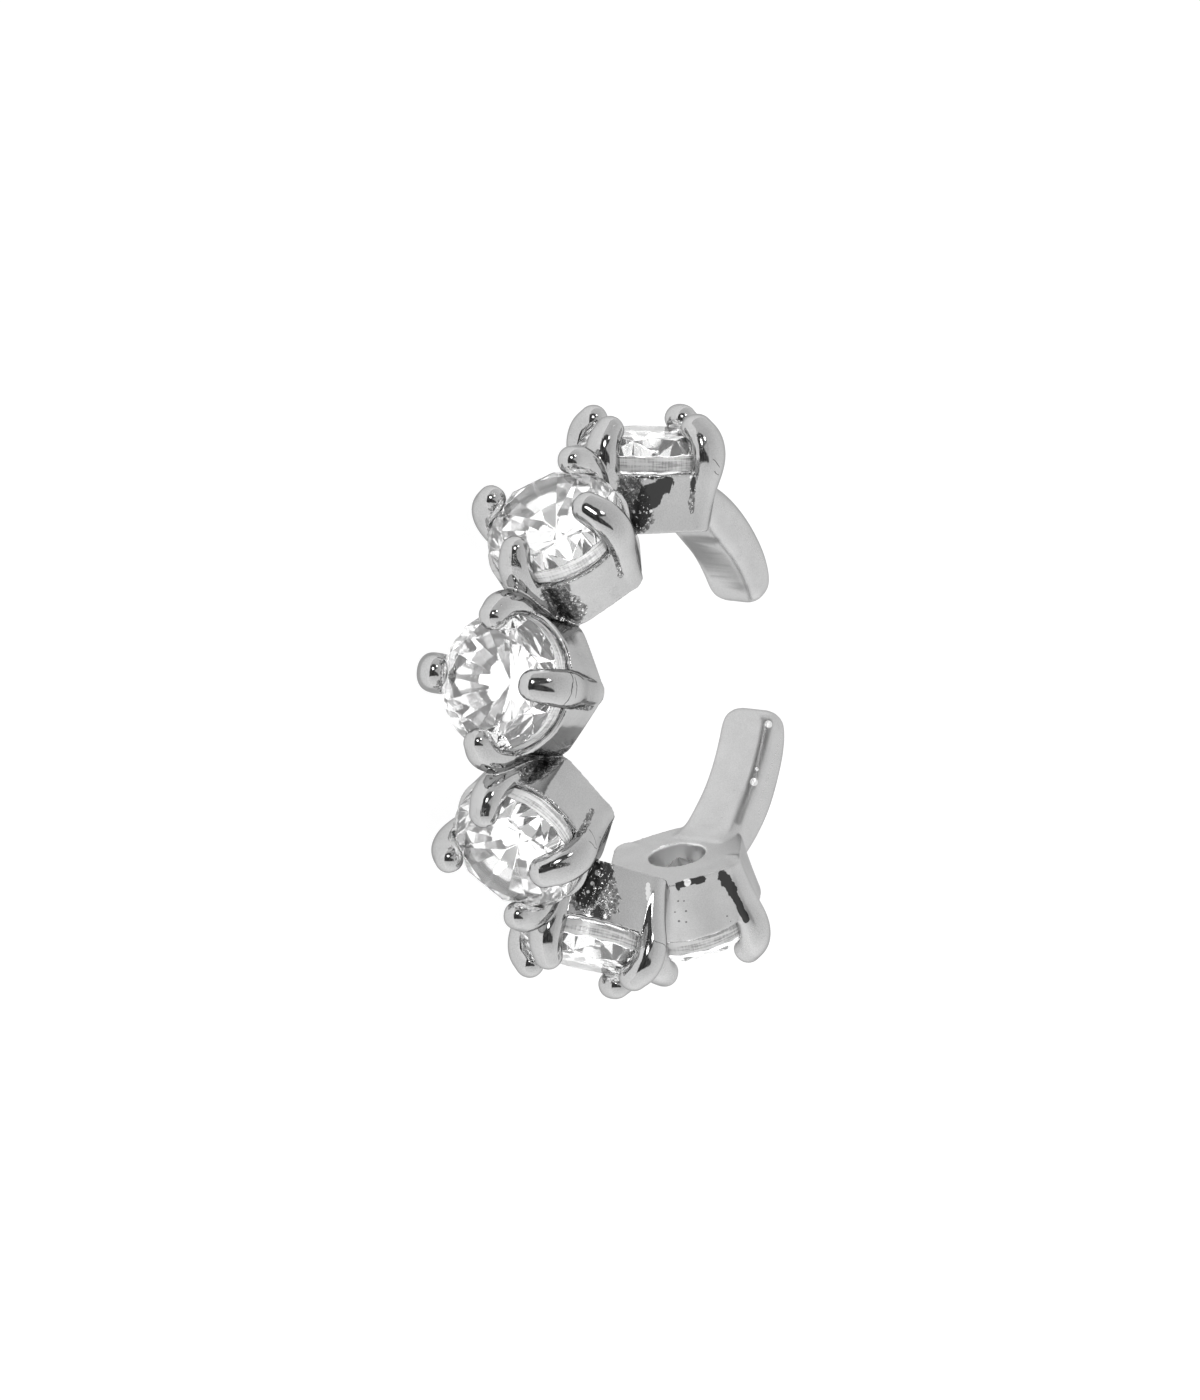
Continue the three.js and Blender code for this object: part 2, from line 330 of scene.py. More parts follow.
# Dark gap in the tent: its frayed edge, the wedge cut out of it at the right, its lower end, its own tones
GAP_EDGE_NOISE = (2.6, 3.0)
GAP_EDGE_RANGE = (0.3, 0.7, -0.06, 0.06)
WEDGE_SLOPE = 0.6
WEDGE_HEIGHT = 0.12
WEDGE_RANGE = (-0.12, -0.02, 0.15, 1.0)
GAP_LOWER_END = (-0.42, -0.34)
GAP_NOISE = (5.0, 3.0)
GAP_RANGE = (0.35, 0.7)
GAP_CONTRAST = 4

# Nearest and farthest that the camera sees, in metres
CLIP_START = 0.01
CLIP_END = 2


def ring_centre():
    """Middle of the ring in metres, read off the stone that faces -Y."""
    low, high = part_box("stone_3")
    return Vector(
        (
            (low[0] + high[0]) / 2,
            low[1] + TABLE_HEIGHT * MM,
            (low[2] + high[2]) / 2,
        )
    )


def smooth_rows(rows, count):
    """Catmull-Rom values at even steps through rows of numbers."""
    rows = np.array(rows, float)
    padded = np.vstack([2 * rows[0] - rows[1], rows, 2 * rows[-1] - rows[-2]])
    spots = np.linspace(0, len(rows) - 1, count)
    first = np.minimum(spots.astype(int), len(rows) - 2)
    share = (spots - first)[:, None]
    a, b, c, d = (padded[first + shift] for shift in range(4))
    cubic = 2 * b + (c - a) * share + (2 * a - 5 * b + 4 * c - d) * share**2
    cubic += (3 * b - a - 3 * c + d) * share**3
    return cubic / 2


def loft(rings):
    """Vertices and faces of a closed skin through rings of points."""
    count = len(rings[0])
    vertices = [tuple(point) for ring in rings for point in ring]
    faces = []
    for level in range(len(rings) - 1):
        for side in range(count):
            low = level * count + side
            high = level * count + (side + 1) % count
            faces.append((low, high, high + count, low + count))
    faces.append(tuple(reversed(range(count))))
    last = (len(rings) - 1) * count
    faces.append(tuple(range(last, last + count)))
    return vertices, faces


def onto_ring(points, angle):
    """Points on a setting's own axes in millimetres, moved to their place on the ring in metres."""
    turn = math.radians(angle)
    beside = np.array((0, 0, 1))
    along = np.array((math.sin(turn), -math.cos(turn), 0))
    outward = np.array((math.cos(turn), math.sin(turn), 0))
    basis = np.array((beside, along, outward))
    return np.array(points) @ basis * MM + np.array(CENTRE)


def new_object(name, vertices, faces):
    mesh = bpy.data.meshes.new(name)
    mesh.from_pydata([tuple(vertex) for vertex in vertices], [], faces)
    mesh.validate()
    shaped = bmesh.new()
    shaped.from_mesh(mesh)
    bmesh.ops.recalc_face_normals(shaped, faces=shaped.faces)
    shaped.to_mesh(mesh)
    shaped.free()
    made = bpy.data.objects.new(name, mesh)
    bpy.context.scene.collection.objects.link(made)
    return made


def remove_object(gone):
    mesh = gone.data
    bpy.data.objects.remove(gone)
    bpy.data.meshes.remove(mesh)


def apply_modifiers(target):
    """Keeps what the modifiers make as the object's own mesh."""
    depsgraph = bpy.context.evaluated_depsgraph_get()
    baked = bpy.data.meshes.new_from_object(target.evaluated_get(depsgraph))
    old = target.data
    target.modifiers.clear()
    target.data = baked
    bpy.data.meshes.remove(old)


def combine(target, tool, operation):
    """Joins the tool to the target, or cuts it away."""
    step = target.modifiers.new("Combine", "BOOLEAN")
    step.operation = operation
    step.solver = "MANIFOLD"
    step.object = tool
    apply_modifiers(target)
    remove_object(tool)


def half_pitches(number):
    """Half of the turn to the setting before and to the one after."""
    angles = SETTING_ANGLES
    gaps = [(last - first) / 2 for first, last in zip(angles, angles[1:])]
    gaps = [END_HALF_PITCH, *gaps, END_HALF_PITCH]
    return gaps[number - 1], gaps[number]


def foot_sides(half_pitch, facing):
    """Joint and two slanting walls on one side of a foot, facing up or down its own y axis."""
    joint_distance = CUP_FOOT_HEIGHT * math.tan(math.radians(half_pitch))
    wall_angle = math.atan2(CUP_CORNER_REACH - JOINT_HALF_WIDTH, joint_distance)
    wall_distance = CUP_CORNER_REACH * math.cos(wall_angle) + CUP_WALL_BULGE
    return [
        (facing * math.pi / 2, joint_distance + JOINT_OVERLAP),
        (facing * wall_angle, wall_distance),
        (facing * (math.pi - wall_angle), wall_distance),
    ]


def foot_reach(angle, sides):
    """Distance to the edge of a foot along a direction, with softened corners."""
    total = 0
    for direction, distance in sides:
        share = max(math.cos(angle - direction), 0) / distance
        total += share**CUP_CORNER_SHARPNESS
    return total ** (-1 / CUP_CORNER_SHARPNESS)


def cup_shape(number, steps, levels):
    """Outside of a collet cup, from its flat six-sided foot to its round rim."""
    before, after = half_pitches(number)
    sides = foot_sides(before, 1) + foot_sides(after, -1)
    angles = np.linspace(0, 2 * math.pi, steps, endpoint=False)
    feet = np.array([foot_reach(angle, sides) for angle in angles])
    rings = []
    for share in np.linspace(0, 1, levels):
        height = CUP_FOOT_HEIGHT + (CUP_RIM_HEIGHT - CUP_FOOT_HEIGHT) * share
        reach = feet * (1 - share) + CUP_RIM_RADIUS * share
        along = reach * np.sin(angles)
        heights = height - FOOT_SLOPES[number - 1] * along * (1 - share)
        rings.append(np.column_stack((reach * np.cos(angles), along, heights)))
    return loft(rings)


def claw_traits(setting, quarter):
    """Width share, longer tip and lean of one claw."""
    for row_setting, row_quarter, *traits in CLAW_TRAITS:
        if (row_setting, row_quarter) == (setting, quarter):
            return traits
    return 1, 0, 0


def claw_shape(quarter, traits, sides, steps, tip_steps):
    """Rounded claw from the foot of the collet to its tip over the crown."""
    width, longer, lean = traits
    rows = smooth_rows(CLAW_STATIONS, steps)
    tip_height = rows[-1, 1]
    above_neck = np.clip((rows[:, 1] - CLAW_NECK_HEIGHT) / (tip_height - CLAW_NECK_HEIGHT), 0, 1)
    rows[:, 2] *= 1 + (width - 1) * above_neck**CLAW_WIDENING_POWER
    lengthening = longer * above_neck**CLAW_LENGTHENING_POWER
    rows[:, 0] -= lengthening
    rows[:, 1] += lengthening * CLAW_RISE_SHARE
    leaning = lean * above_neck
    tangents = np.gradient(rows[:, :2], axis=0)
    tangents /= np.linalg.norm(tangents, axis=1)[:, None]
    tip = rows[-1]
    for step in range(1, tip_steps + 1):
        angle = math.pi / 2 * step / (tip_steps + 0.5)
        forward = tangents[-1] * tip[3] * math.sin(angle)
        narrowed = tip[2:] * math.cos(angle)
        rows = np.vstack([rows, np.concatenate((tip[:2] + forward, narrowed))])
        tangents = np.vstack([tangents, tangents[-1]])
        leaning = np.append(leaning, lean)
    angles = np.linspace(0, 2 * math.pi, sides, endpoint=False)
    turn = quarter * math.pi / 2
    cosines = rounded(np.cos(angles), CLAW_ROUNDNESS)
    sines = rounded(np.sin(angles), CLAW_ROUNDNESS)
    rings = []
    for (reach, height, half_width, half_thickness), (out, up), shift in zip(rows, tangents, leaning):
        across = half_thickness * cosines
        far = reach + across * up
        side = half_width * sines + shift
        x = far * math.cos(turn) - side * math.sin(turn)
        y = far * math.sin(turn) + side * math.cos(turn)
        rings.append(np.column_stack((x, y, height - across * out)))
    return loft(rings)


def rounded(waves, roundness):
    """Sines or cosines bent so that a circle becomes a rounder square."""
    return np.sign(waves) * np.abs(waves) ** (2 / roundness)


def lathe(profile, sides):
    """Closed turned shape from rows of radius and height."""
    angles = np.linspace(0, 2 * math.pi, sides, endpoint=False)
    rings = []
    for radius, height in profile:
        flat = np.full(sides, height)
        rings.append(np.column_stack((radius * np.cos(angles), radius * np.sin(angles), flat)))
    return loft(rings)


def seat_shape(clearance, sides):
    """Room for a stone and the open back under it."""
    wide = STONE_RADIUS + clearance
    slope = PAVILION_DEPTH / STONE_RADIUS
    cone_height = GIRDLE_BOTTOM - (wide - BACK_HOLE_RADIUS) * slope
    profile = (
        (BACK_HOLE_RADIUS, CUP_FOOT_HEIGHT - CUT_PAST_FOOT),
        (BACK_HOLE_RADIUS, cone_height),
        (wide, GIRDLE_BOTTOM),
        (wide, GIRDLE_TOP),
        (TABLE_RADIUS + clearance, TABLE_HEIGHT + clearance),
    )
    return lathe(profile, sides)


def tab_points(setting, direction, end_angle, lift, half_width, sections, corner_steps):
    """Skin of an end tab, bent round the ring from inside its collet to a rounded end."""
    rings = []
    for share, inner, outer, width, raised in smooth_rows(TAB_SECTIONS, sections):
        half_height = (outer - inner) / 2
        middle = (outer + inner) / 2 + lift * raised
        wide = half_width * width
        corner = min(TAB_CORNER_RADIUS, TAB_CORNER_SHARE * half_height)
        turned = TAB_ROOT_ANGLE + (end_angle - TAB_ROOT_ANGLE) * share
        azimuth = math.radians(SETTING_ANGLES[setting - 1] + direction * turned)
        ring = []
        for quarter in range(4):
            radial_sign = 1 if quarter in (0, 3) else -1
            beside_sign = 1 if quarter < 2 else -1
            for step in range(corner_steps + 1):
                turn = math.pi / 2 * (quarter + step / corner_steps)
                radial = middle + radial_sign * (half_height - corner) + corner * math.cos(turn)
                beside = beside_sign * (wide - corner) + corner * math.sin(turn)
                ring.append((radial * math.cos(azimuth), radial * math.sin(azimuth), beside))
        rings.append(ring)
    vertices, faces = loft(rings)
    return np.array(vertices) * MM + np.array(CENTRE), faces


def ring_shape(name, shape, angle):
    vertices, faces = shape
    return new_object(name, onto_ring(vertices, angle), faces)


def soften(mesh, rounds, forward, backward, weights=1.0):
    """Rounds the surface a little without shrinking it much."""
    count = len(mesh.vertices)
    spots = np.empty(count * 3)
    mesh.vertices.foreach_get("co", spots)
    spots = spots.reshape(-1, 3)
    edges = np.empty(len(mesh.edges) * 2, np.int64)
    mesh.edges.foreach_get("vertices", edges)
    starts, ends = edges.reshape(-1, 2).T
    degree = np.bincount(starts, minlength=count) + np.bincount(ends, minlength=count)
    for _ in range(rounds):
        for amount in (forward, backward):
            pulled = np.empty_like(spots)
            for axis in range(3):
                total = np.bincount(starts, spots[ends, axis], count)
                total += np.bincount(ends, spots[starts, axis], count)
                pulled[:, axis] = total / degree
            spots += weights * amount * (pulled - spots)
    mesh.vertices.foreach_set("co", spots.ravel())
    mesh.update()


def lower_side(rows):
    """The same stains on the lower side of the ring, for those of a whole joint."""
    mirrored = []
    for setting, beside, along, outward, far_beside, far_along, far_outward, reach in rows:
        if reach > LOWER_STAIN_REACH:
            near_end = (-beside, along, outward)
            far_end = (-far_beside, far_along, far_outward)
            mirrored.append((setting, *near_end, *far_end, LOWER_STAIN_REACH))
    return tuple(mirrored)


def local_spots(mesh, angle):
    """Places of the corners on a setting's own axes, in millimetres."""
    spots = np.empty(len(mesh.vertices) * 3)
    mesh.vertices.foreach_get("co", spots)
    spots = (spots.reshape(-1, 3) - np.array(CENTRE)) / MM
    turn = math.radians(angle)
    along = spots @ (math.sin(turn), -math.cos(turn), 0)
    outward = spots @ (math.cos(turn), math.sin(turn), 0)
    return np.column_stack((spots[:, 2], along, outward))


def nearness(mesh, rows):
    """How near each corner is to the stretches in the rows, from 0 to 1."""
    marks = np.zeros(len(mesh.vertices))
    for setting, *ends, reach in rows:
        local = local_spots(mesh, SETTING_ANGLES[setting - 1])
        start = np.array(ends[:3])
        run = np.array(ends[3:]) - start
        share = np.clip((local - start) @ run / (run @ run), 0, 1)
        gap = np.linalg.norm(local - start - share[:, None] * run, axis=1)
        marks = np.maximum(marks, 1 - gap / reach)
    return marks


def keep_marks(mesh, layer_name, marks):
    layer = mesh.attributes.new(layer_name, "FLOAT", "POINT")
    layer.data.foreach_set("value", marks.astype(np.float32))


def mark_seats(mesh, clearance):
    """Keeps on each corner whether it lies in a cut seat."""
    wide = STONE_RADIUS + clearance
    slope = PAVILION_DEPTH / STONE_RADIUS
    marks = np.zeros(len(mesh.vertices))
    for angle in SETTING_ANGLES:
        beside, along, outward = local_spots(mesh, angle).T
        reach = np.hypot(beside, along)
        cut = wide - np.maximum(GIRDLE_BOTTOM - outward, 0) / slope
        cut = np.maximum(cut, BACK_HOLE_RADIUS)
        inside = (reach < cut + SEAT_MARK_DEPTH) & (outward > CUP_FOOT_HEIGHT) & (outward < GIRDLE_TOP)
        marks = np.maximum(marks, inside * 1.0)
    keep_marks(mesh, SEAT_LAYER, marks)


def make_metal(sizes):
    """One cast body: cups, claws and tabs joined, seats cut, edges softened by tumbling."""
    body = None
    for number, angle in enumerate(SETTING_ANGLES, 1):
        cup = cup_shape(number, steps=120, levels=16)
        claws = []
        for quarter in range(4):
            traits = claw_traits(number, quarter)
            claws.append(claw_shape(quarter, traits, sides=32, steps=36, tip_steps=6))
        for shape in (cup, *claws):
            piece = ring_shape("piece", shape, angle)
            if body is None:
                body = piece
            else:
                combine(body, piece, "UNION")
    for tab in TABS:
        vertices, faces = tab_points(*tab, sections=48, corner_steps=8)
        combine(body, new_object("tab", vertices, faces), "UNION")
    clearance = sizes.clearance / MM
    seat = seat_shape(clearance, sides=128)
    for angle in SETTING_ANGLES:
        combine(body, ring_shape("seat", seat, angle), "DIFFERENCE")
    grain = body.modifiers.new("Even skin", "REMESH")
    grain.mode = "VOXEL"
    grain.voxel_size = sizes.skin
    apply_modifiers(body)
    soften(body.data, sizes.tumbling, SOFTENING_STEP, TUMBLING_RETURN)
    roots = np.clip(ROOT_STRENGTH * nearness(body.data, TAB_ROOTS), 0, 1)[:, None]
    soften(body.data, sizes.root_blending, SOFTENING_STEP, ROOT_RETURN, roots)
    thin = body.modifiers.new("Fewer faces", "DECIMATE")
    thin.ratio = min(1, sizes.face_limit / (2 * len(body.data.polygons)))
    apply_modifiers(body)
    body.data.shade_smooth()
    layers = {
        SOLDER_LAYER: SOLDER_STAINS + lower_side(SOLDER_STAINS),
        FILM_LAYER: FILM_STAINS,
        DARK_REFLECTION_LAYER: PAINTED_DARK_REFLECTIONS,
        SATIN_LAYER: SATIN_PARTS,
    }
    for layer_name, rows in layers.items():
        keep_marks(body.data, layer_name, nearness(body.data, rows))
    mark_seats(body.data, clearance)
    body.name = "cast_cuff"
    return body


def brilliant_points(girdle_sides):
    """Corners of a round brilliant, with the wavy edge that flat facets leave on a round girdle."""
    fold = 2 * math.pi / FACET_FOLD
    half_cosine = math.cos(fold / 2)
    crown = TABLE_HEIGHT - GIRDLE_TOP
    star = (TABLE_RADIUS * half_cosine + STONE_RADIUS) / 2
    star_height = GIRDLE_TOP + crown * (STONE_RADIUS - star * half_cosine) / (STONE_RADIUS - TABLE_RADIUS)
    low = STONE_RADIUS * LOWER_HALF_SHARE
    low_height = GIRDLE_BOTTOM - PAVILION_DEPTH * (1 - low * half_cosine / STONE_RADIUS)

    def at(radius, angle, height):
        return np.array((radius * math.cos(angle), radius * math.sin(angle), height))

    def half_facet_height(angle, inner, inner_height, edge_height):
        share = (angle / fold) % 1
        main = 0 if share < 0.5 else fold
        corner = at(STONE_RADIUS, main, edge_height)
        middle = at(STONE_RADIUS, fold / 2, edge_height)
        peak = at(inner, fold / 2, inner_height)
        normal = np.cross(middle - corner, peak - corner)
        spot = at(STONE_RADIUS, share * fold, 0)
        return corner[2] - (normal[:2] @ (spot - corner)[:2]) / normal[2]

    points = [at(0, 0, GIRDLE_BOTTOM - PAVILION_DEPTH)]
    for number in range(FACET_FOLD):
        points.append(at(TABLE_RADIUS, number * fold, TABLE_HEIGHT))
        points.append(at(star, (number + 0.5) * fold, star_height))
        points.append(at(low, (number + 0.5) * fold, low_height))
    for number in range(girdle_sides):
        angle = 2 * math.pi * number / girdle_sides
        upper = half_facet_height(angle, star, star_height, GIRDLE_TOP)
        lower = half_facet_height(angle, low, low_height, GIRDLE_BOTTOM)
        points.append(at(STONE_RADIUS, angle, upper))
        points.append(at(STONE_RADIUS, angle, lower))
    return points


def make_stone(name, node, angle, materials):
    """One cut stone of flat facets, with a frosted girdle band."""
    shaped = bmesh.new()
    spots = onto_ring(brilliant_points(girdle_sides=96), angle)
    for spot in spots:
        shaped.verts.new(spot / MM)
    bmesh.ops.convex_hull(shaped, input=shaped.verts)
    loose = [vertex for vertex in shaped.verts if not vertex.link_faces]
    bmesh.ops.delete(shaped, geom=loose, context="VERTS")
    bmesh.ops.dissolve_limit(
        shaped,
        angle_limit=FLAT_ANGLE,
        verts=shaped.verts,
        edges=shaped.edges,
    )
    sharp = [edge for edge in shaped.edges if edge.calc_face_angle() > SHARP_ANGLE]
    bmesh.ops.bevel(shaped, geom=sharp, offset=FACET_EDGE_WEAR, segments=1, affect="EDGES")
    bmesh.ops.scale(shaped, vec=Vector((MM, MM, MM)), verts=shaped.verts)
    bmesh.ops.recalc_face_normals(shaped, faces=shaped.faces)
    turn = math.radians(angle)
    outward = Vector((math.cos(turn), math.sin(turn), 0))
    for face in shaped.faces:
        face.material_index = 1 if abs(face.normal.dot(outward)) < GIRDLE_SLOPE else 0
    mesh = bpy.data.meshes.new(name)
    shaped.to_mesh(mesh)
    shaped.free()
    for material in materials:
        mesh.materials.append(material)
    layer = mesh.attributes.new(SPOT_LAYER, "FLOAT_VECTOR", "POINT")
    layer.data.foreach_set("vector", local_spots(mesh, angle).astype(np.float32).ravel())
    stone = bpy.data.objects.new(name, mesh)
    bpy.context.scene.collection.objects.link(stone)
    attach(stone, "root")
    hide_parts(node)
    return stone


class NodeMaker:
    """Adds and joins shader nodes in one line each."""

    def __init__(self, tree):
        self.tree = tree
        tree.nodes.clear()

    def add(self, kind, settings=None, **inputs):
        node = self.tree.nodes.new(kind)
        for key, value in (settings or {}).items():
            setattr(node, key, value)
        for key, value in inputs.items():
            self.feed(node.inputs[key.replace("_", " ")], value)
        return node

    def feed(self, socket, value):
        if isinstance(value, bpy.types.NodeSocket):
            self.tree.links.new(value, socket)
        else:
            socket.default_value = value

    def maths(self, operation, first, second=0.0):
        node = self.add("ShaderNodeMath", {"operation": operation})
        self.feed(node.inputs[0], first)
        self.feed(node.inputs[1], second)
        return node.outputs[0]

    def dot(self, vector, fixed):
        node = self.add("ShaderNodeVectorMath", {"operation": "DOT_PRODUCT"})
        self.feed(node.inputs[0], vector)
        self.feed(node.inputs[1], fixed)
        return node.outputs["Value"]

    def stretch(self, vector, amounts):
        node = self.add("ShaderNodeVectorMath", {"operation": "MULTIPLY"})
        self.feed(node.inputs[0], vector)
        self.feed(node.inputs[1], amounts)
        return node.outputs[0]

    def noise(self, vector, scale, detail=2.0, roughness=0.5):
        inputs = {"Vector": vector, "Scale": scale, "Detail": detail, "Roughness": roughness}
        return self.add("ShaderNodeTexNoise", **inputs).outputs["Fac"]

    def remap(self, value, low, high, to_low=0.0, to_high=1.0):
        node = self.add("ShaderNodeMapRange", {"interpolation_type": "SMOOTHSTEP"})
        amounts = (value, low, high, to_low, to_high)
        for key, amount in zip(("Value", "From Min", "From Max", "To Min", "To Max"), amounts):
            self.feed(node.inputs[key], amount)
        return node.outputs["Result"]

    def blend(self, share, first, second):
        """Number between two others."""
        return self.add("ShaderNodeMix", Factor=share, A=first, B=second).outputs["Result"]

    def bump(self, height, depth, normal=None):
        node = self.add("ShaderNodeBump", Height=height, Strength=1.0, Distance=depth)
        if normal is not None:
            self.feed(node.inputs["Normal"], normal)
        return node.outputs["Normal"]

    def layer(self, name, output):
        return self.add("ShaderNodeAttribute", {"attribute_name": name}).outputs[output]

    def place(self):
        """Place on the object in millimetres."""
        spot = self.add("ShaderNodeTexCoord").outputs["Object"]
        return self.stretch(spot, (1 / MM, 1 / MM, 1 / MM))

    def grey(self, amount):
        colour = self.add("ShaderNodeCombineColor")
        for key in ("Red", "Green", "Blue"):
            self.feed(colour.inputs[key], amount)
        return colour.outputs[0]


def new_material(name):
    material = bpy.data.materials.new(name)
    material.use_nodes = True
    return material, NodeMaker(material.node_tree)


def finish_material(maker, surface):
    out = maker.add("ShaderNodeOutputMaterial")
    maker.feed(out.inputs["Surface"], surface.outputs[0])


def scratch_lines(maker, place):
    """Sparse fine scratches in two directions, 1 on a line and 0 off it."""
    here = maker.remap(maker.noise(place, *SCRATCH_PATCH_NOISE), *SCRATCH_PATCHES)
    lines = 0.0
    for amounts in SCRATCH_STRETCHES:
        streaks = maker.noise(maker.stretch(place, amounts), *STREAK_NOISE)
        line = maker.remap(middle_gap(maker, streaks), 0.0, SCRATCH_THINNESS, 1.0, 0.0)
        lines = maker.maths("MAXIMUM", maker.maths("MULTIPLY", line, here), lines)
    return lines


def middle_gap(maker, noise):
    """How far a noise is from its middle value."""
    return maker.maths("ABSOLUTE", maker.maths("SUBTRACT", noise, 0.5))


def ragged_mark(maker, layer_name, ragged, ragged_share):
    """Marked patch of a layer with an edge frayed by noise."""
    marks = maker.layer(layer_name, "Fac")
    frayed = maker.maths("MULTIPLY", maker.maths("SUBTRACT", ragged, 0.5), ragged_share)
    return maker.remap(maker.maths("ADD", marks, frayed), *RAGGED_EDGE)


def ring_direction(setting, beside, along, outward):
    """Direction on a setting's own axes, turned to its place on the ring."""
    start, end = onto_ring([(0, 0, 0), (beside, along, outward)], SETTING_ANGLES[setting - 1])
    return Vector((end - start) / MM).normalized()


def distance_from(maker, place, setting, spot):
    """Distance in millimetres from a spot on a setting's own axes."""
    centre = onto_ring([spot], SETTING_ANGLES[setting - 1])[0] / MM
    node = maker.add("ShaderNodeVectorMath", {"operation": "DISTANCE"})
    maker.feed(node.inputs[0], place)
    maker.feed(node.inputs[1], Vector(centre))
    return node.outputs["Value"]


def crease_shade_lines(maker, place):
    """Painted shade in fine creases on the metal, 1 on a line and 0 off it."""
    wobble = maker.remap(maker.noise(place, *CREASE_SHADE_NOISE), *CREASE_SHADE_WOBBLE)
    edge_start, edge_end = CREASE_SHADE_EDGE
    lines = 0.0
    for setting, *numbers, reach, half_width in CREASE_SHADE_LINES:
        middle = numbers[:3]
        across = ring_direction(setting, *numbers[3:])
        centre = Vector(onto_ring([middle], SETTING_ANGLES[setting - 1])[0] / MM)
        offset = maker.maths("SUBTRACT", maker.dot(place, across), centre.dot(across))
        offset = maker.maths("ABSOLUTE", maker.maths("ADD", offset, wobble))
        line = maker.remap(offset, edge_start * half_width, edge_end * half_width, 1.0, 0.0)
        gap = distance_from(maker, place, setting, middle)
        here = maker.remap(gap, CREASE_SHADE_END * reach, reach, 1.0, 0.0)
        lines = maker.maths("MAXIMUM", maker.maths("MULTIPLY", line, here), lines)
    return lines


def round_marks(maker, place, rows, soft_share):
    """Small round marks, 1 in a mark and 0 outside, with a soft share of the radius at the edge."""
    marks = 0.0
    for setting, *spot, radius in rows:
        gap = distance_from(maker, place, setting, spot)
        mark = maker.remap(gap, radius * (1 - soft_share), radius, 1.0, 0.0)
        marks = maker.maths("MAXIMUM", mark, marks)
    return marks


def metal_material(look):
    """Bright plating with slow casting waves, grain, hairlines and sooty rough solder, with painted shade,
    glints, highlights and dark reflections.
    """
    material, maker = new_material("bright_plated_metal")
    place = maker.place()
    ragged = maker.noise(place, *RAGGED_NOISE)
    solder = ragged_mark(maker, SOLDER_LAYER, ragged, SOLDER_FRAY)
    film = ragged_mark(maker, FILM_LAYER, ragged, FILM_FRAY)
    seat = maker.layer(SEAT_LAYER, "Fac")
    satin = maker.remap(maker.layer(SATIN_LAYER, "Fac"), *SATIN_RANGE)
    grain = maker.noise(place, *GRAIN_NOISE)
    crumbs = maker.noise(place, *CRUMB_NOISE)
    hairlines = scratch_lines(maker, place)

    normal = maker.bump(maker.noise(place, look.wave_scale), look.wave_depth)
    normal = maker.bump(grain, look.grain_depth, normal)
    normal = maker.bump(hairlines, -look.hairline_depth, normal)
    normal = maker.bump(maker.maths("MULTIPLY", crumbs, solder), look.crumb_depth, normal)

    tone = plating_tone(maker, place, look, hairlines, satin)
    tone = maker.blend(solder, tone, solder_tone(maker, crumbs))
    tone = maker.blend(film, tone, look.film_shine)
    # Bright specks painted into the solder as glints of light
    glints = maker.remap(maker.noise(place, *GLINT_NOISE), *GLINT_RANGE)
    tone = maker.blend(maker.maths("MULTIPLY", glints, solder), tone, GLINT_TONE)
    tone = maker.blend(seat, tone, look.seat_shine)
    # Bright dots and a bar painted as highlights
    tone = maker.blend(round_marks(maker, place, PAINTED_HIGHLIGHTS, HIGHLIGHT_SOFTNESS), tone, HIGHLIGHT_TONE)

    roughness = maker.blend(satin, maker.remap(grain, *SMOOTH_RANGE), SATIN_ROUGHNESS)
    roughness = maker.blend(solder, roughness, SOLDER_ROUGHNESS)
    surface = maker.add(
        "ShaderNodeBsdfPrincipled",
        Base_Color=maker.grey(tone),
        Metallic=1.0,
        Roughness=roughness,
        Specular_Tint=(look.edge_shine, look.edge_shine, look.edge_shine, 1),
        Normal=normal,
    )
    finish_material(maker, surface)
    return material


def plating_tone(maker, place, look, hairlines, satin):
    """Brightness of the plating, with speckles, scratches, painted dark reflections, and painted shade in
    creases and pits.
    """
    speckle = maker.remap(maker.noise(place, *SPECKLE_NOISE), *SPECKLE_RANGE)
    mottle = maker.remap(maker.noise(place, *MOTTLE_NOISE), *MOTTLE_RANGE)
    tone = maker.maths("MULTIPLY", maker.maths("ADD", mottle, speckle), look.shine)
    tone = maker.blend(hairlines, tone, look.shine * SCRATCH_TONE)
    # Dark reflections painted on the end tabs
    dark_reflection = maker.remap(maker.layer(DARK_REFLECTION_LAYER, "Fac"), *DARK_REFLECTION_RANGE, 1.0, look.dark_reflection_shine)
    tone = maker.maths("MULTIPLY", tone, dark_reflection)
    tone = maker.maths("MULTIPLY", tone, maker.blend(satin, 1.0, look.satin_shine))
    # Dark lines painted as the shade in creases and under a claw
    tone = maker.blend(crease_shade_lines(maker, place), tone, CREASE_SHADE_TONE)
    # Dark dots painted as the shade in small pits
    return maker.blend(round_marks(maker, place, PIT_SHADE_DOTS, PIT_SHADE_SOFTNESS), tone, PIT_SHADE_TONE)


def solder_tone(maker, crumbs):
    """Brightness of sooty solder, with dark curls between its crumbs."""
    curls = maker.remap(middle_gap(maker, crumbs), *CURL_RANGE)
    return maker.blend(curls, maker.remap(crumbs, *SOOT_RANGE), CURL_TONE)


